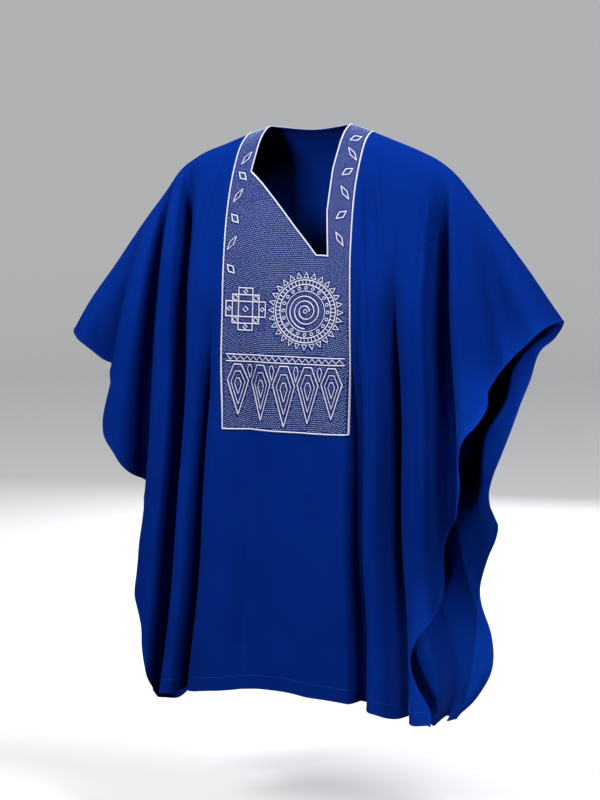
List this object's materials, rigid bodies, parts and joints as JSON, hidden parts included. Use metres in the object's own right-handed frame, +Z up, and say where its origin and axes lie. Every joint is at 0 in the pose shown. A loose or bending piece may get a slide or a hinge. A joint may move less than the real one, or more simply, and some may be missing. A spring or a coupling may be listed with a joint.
{
  "type": "grand boubou robe",
  "caption": "Wide draped African robe of smooth cloth, folded over the shoulders and open at the sides, with an embroidered chest field and an off-centre neck slit.",
  "frame": {"origin": "middle of the neck at the height of the shoulder fold, in the plane of the shoulders, where the wearer's shoulders hold the robe up", "axes": "+Z up, the front of the robe faces -Y, the wearer's left is +X"},
  "size_m": [1.134, 0.3491, 1.3743],
  "materials": {
    "robe_cloth": "smooth royal blue plain weave with a slight sheen",
    "stitched_field": "dense machine stitching in off-white thread over the blue cloth"
  },
  "bodies": {
    "root": {"front_panel": "robe_cloth", "back_panel": "robe_cloth", "chest_embroidery": "stitched_field", "back_neck_band": "stitched_field"}
  },
  "joints": []
}
